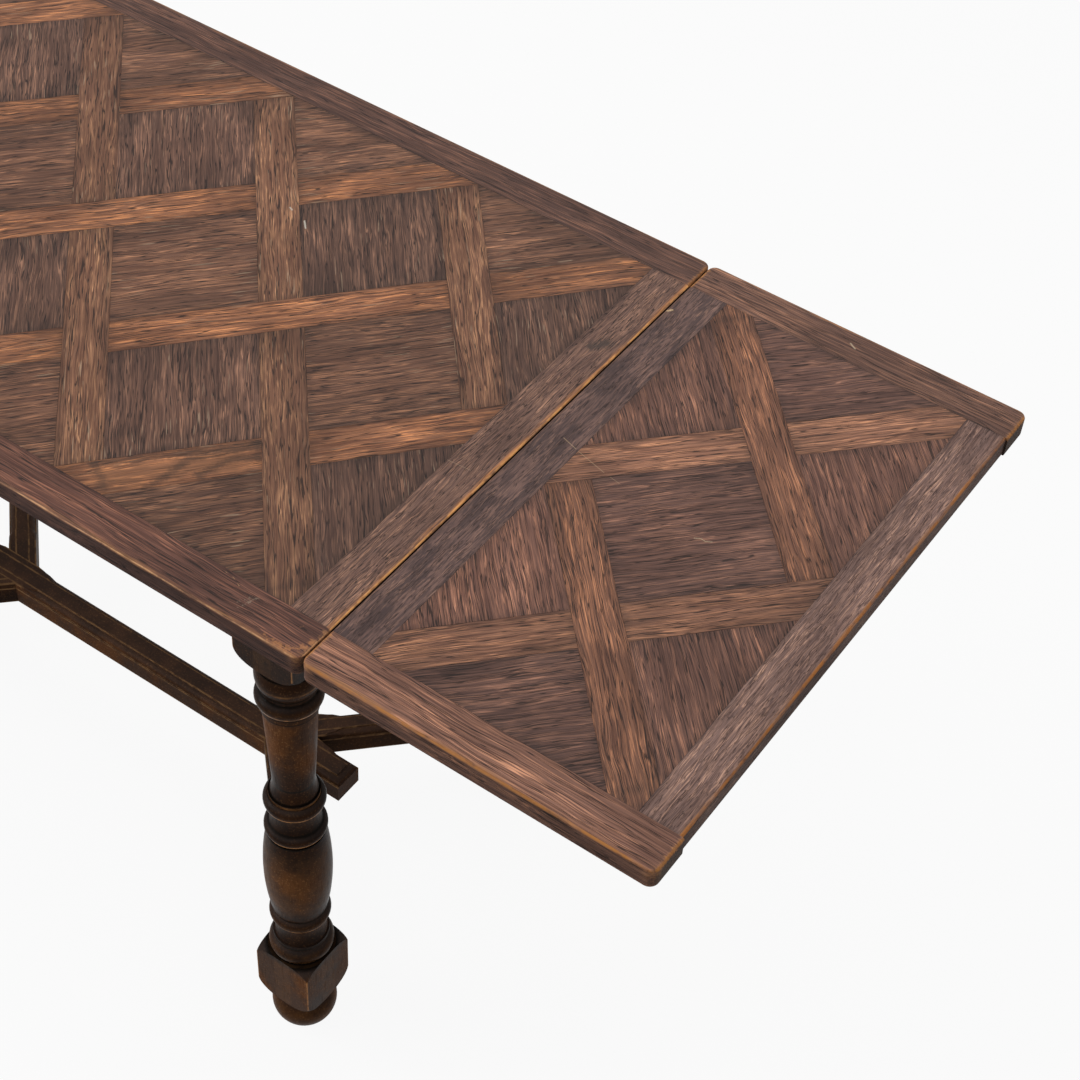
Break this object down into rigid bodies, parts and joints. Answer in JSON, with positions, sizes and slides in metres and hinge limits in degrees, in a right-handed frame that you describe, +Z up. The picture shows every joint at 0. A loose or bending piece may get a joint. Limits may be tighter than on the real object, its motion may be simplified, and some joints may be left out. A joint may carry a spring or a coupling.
{
  "type": "draw-leaf table",
  "caption": "Old dark oak draw-leaf dining table with a woven parquet top, turned legs on bun feet and a low moulded stretcher with diagonal arms.",
  "frame": {"origin": "on the floor, under the middle of the main top", "axes": "+X along the table towards the right leaf, +Y across it to the far side, +Z up"},
  "size_m": [1.758, 0.648, 0.78],
  "materials": {
    "band_oak": "worn satin",
    "parquet_strips": "worn satin",
    "parquet_squares": "worn satin",
    "dark_oak": "dark stained, polished",
    "inner_wood": "unpolished",
    "screw_steel": "dulled"
  },
  "bodies": {
    "frame": {"near_right_leg": "dark_oak", "far_right_leg": "dark_oak", "near_left_leg": "dark_oak", "far_left_leg": "dark_oak", "near_right_arm": "dark_oak", "far_right_arm": "dark_oak", "near_left_arm": "dark_oak", "far_left_arm": "dark_oak", "near_side_rail": "dark_oak", "far_side_rail": "dark_oak", "right_end_rail": "dark_oak", "left_end_rail": "dark_oak", "right_loper_guides": "inner_wood", "left_loper_guides": "inner_wood", "centre_board": "inner_wood", "centre_board_screws": "screw_steel", "corner_braces": "inner_wood", "brace_screws": "screw_steel", "stretcher_bar": "dark_oak", "arm_dowels": "inner_wood"},
    "top": {"top_core": "inner_wood", "top_near_band": "band_oak", "top_far_band": "band_oak", "top_left_band": "band_oak", "top_right_band": "band_oak", "top_falling_strips": "parquet_strips", "top_rising_strips": "parquet_strips", "top_falling_squares": "parquet_squares", "top_rising_squares": "parquet_squares", "top_pegs": "inner_wood"},
    "right_leaf": {"right_leaf_core": "inner_wood", "right_leaf_near_band": "band_oak", "right_leaf_far_band": "band_oak", "right_leaf_inner_band": "band_oak", "right_leaf_outer_band": "band_oak", "right_leaf_falling_strips": "parquet_strips", "right_leaf_rising_strips": "parquet_strips", "right_leaf_falling_squares": "parquet_squares", "right_leaf_rising_squares": "parquet_squares", "right_near_loper": "inner_wood", "right_far_loper": "inner_wood", "right_loper_screws": "screw_steel", "right_loper_stops": "inner_wood"},
    "left_leaf": {"left_leaf_core": "inner_wood", "left_leaf_near_band": "band_oak", "left_leaf_far_band": "band_oak", "left_leaf_inner_band": "band_oak", "left_leaf_outer_band": "band_oak", "left_leaf_falling_strips": "parquet_strips", "left_leaf_rising_strips": "parquet_strips", "left_leaf_falling_squares": "parquet_squares", "left_leaf_rising_squares": "parquet_squares", "left_near_loper": "inner_wood", "left_far_loper": "inner_wood", "left_loper_screws": "screw_steel", "left_loper_stops": "inner_wood"}
  },
  "joints": [
    {"name": "top_lift", "type": "slide", "parent": "frame", "child": "top", "axis": [0, 0, 1], "range_m": [0, 0.04]},
    {"name": "right_leaf_slide", "type": "slide", "parent": "frame", "child": "right_leaf", "axis": [0.9979, 0, 0.0654], "range_m": [0, 0.1]},
    {"name": "left_leaf_slide", "type": "slide", "parent": "frame", "child": "left_leaf", "axis": [-0.9979, 0, 0.0654], "range_m": [0, 0.1]}
  ]
}
